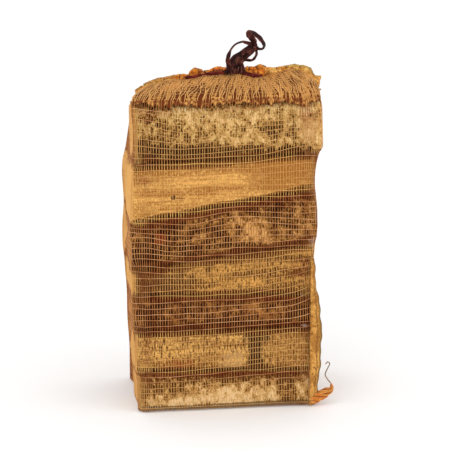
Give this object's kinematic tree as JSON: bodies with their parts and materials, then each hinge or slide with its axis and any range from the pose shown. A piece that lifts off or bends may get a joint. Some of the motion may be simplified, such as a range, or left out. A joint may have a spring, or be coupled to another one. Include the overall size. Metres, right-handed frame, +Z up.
{
  "type": "firewood bundle",
  "caption": "Upright bundle of split birch firewood in an orange knitted net bag, drawn shut at the top with a dark knotted tape.",
  "frame": {"origin": "middle of the bundle's outline, on the ground under its flat bottom", "axes": "+Z up along the height, the front with the loose seam thread at its right faces -Y, and the logs lie along X"},
  "size_m": [0.2798, 0.195, 0.5038],
  "materials": {
    "birch": "split and sawn birch with dull bark",
    "net": "knitted flat yarn, satin",
    "tape": "thin flat tape, slightly glossy",
    "thread": "sewing thread, dull"
  },
  "bodies": {
    "root": {"log_front_1": "birch", "log_front_2": "birch", "log_front_3": "birch", "log_front_4": "birch", "log_front_5": "birch", "log_front_6": "birch", "log_front_7": "birch", "log_back_1": "birch", "log_back_2": "birch", "log_back_3": "birch", "log_back_4": "birch", "log_back_5": "birch", "log_back_6": "birch", "net_bag": "net", "drawstring_tape": "tape", "seam_thread": "thread"}
  },
  "joints": []
}
